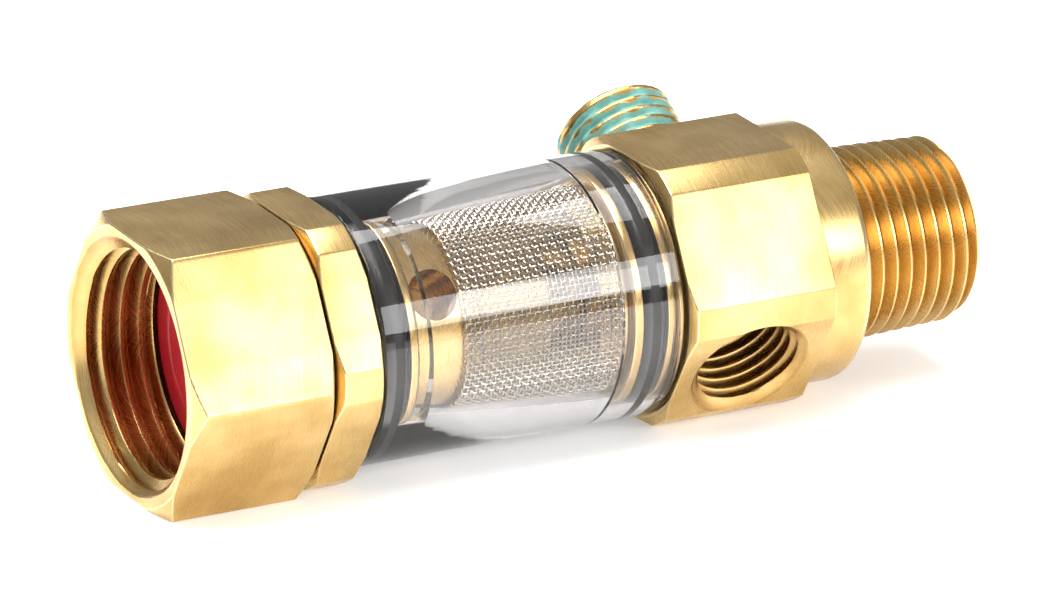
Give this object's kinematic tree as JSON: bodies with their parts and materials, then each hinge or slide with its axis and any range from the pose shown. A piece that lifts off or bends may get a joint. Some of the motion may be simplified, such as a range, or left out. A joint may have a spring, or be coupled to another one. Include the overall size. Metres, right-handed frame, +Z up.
{
  "type": "inline water strainer",
  "caption": "Brass inline water strainer: hose swivel nut, clear sight tube round a woven screen, hexagon outlet body with side ports and a male pipe thread.",
  "frame": {"origin": "on the outlet body's bottom flat, straight below the point where the side ports' axis crosses the flow axis", "axes": "+X along the flow from inlet to outlet, +Z up from the flats it lies on, +Y towards the plugged port"},
  "size_m": [0.0992, 0.0389, 0.0312],
  "materials": {
    "nut_brass": "drawn bar flats, turned ends and threads",
    "body_brass": "drawn bar flats, turned corners, ends and threads",
    "red_rubber": "moulded, slightly glossy",
    "black_rubber": "moulded, satin",
    "spring_wire": "drawn wire",
    "clear_acrylic": "polished, water clear with a faint warm tint",
    "woven_stainless": "woven wire cloth",
    "sealant_coat": "brass with a teal dried thread sealant"
  },
  "bodies": {
    "outlet": {"outlet_body": "body_brass", "outlet_seal_ring": "black_rubber", "side_plug": "sealant_coat"},
    "tube": {"sight_tube": "clear_acrylic", "screen_sleeve": "woven_stainless"},
    "inlet": {"inlet_body": "body_brass", "inlet_seal_ring": "black_rubber", "nut_retaining_ring": "spring_wire"},
    "nut": {"swivel_nut": "nut_brass", "hose_washer": "red_rubber"}
  },
  "joints": [
    {"name": "tube_slide", "type": "slide", "parent": "outlet", "child": "tube", "axis": [-1, 0, 0], "range_m": [0, 0.00875]},
    {"name": "inlet_unscrew", "type": "hinge", "parent": "tube", "child": "inlet", "pos_m": [-0.0509, 0, 0.0147], "axis": [-1, 0, 0], "range_deg": [0, 2520.5]},
    {"name": "nut_swivel", "type": "hinge", "parent": "inlet", "child": "nut", "pos_m": [-0.06, 0, 0.0147], "axis": [1, 0, 0], "continuous": true}
  ],
  "couplings": [
    {"joint": "inlet_unscrew", "follows": "tube_slide", "rad_per_m": 5026.5}
  ]
}
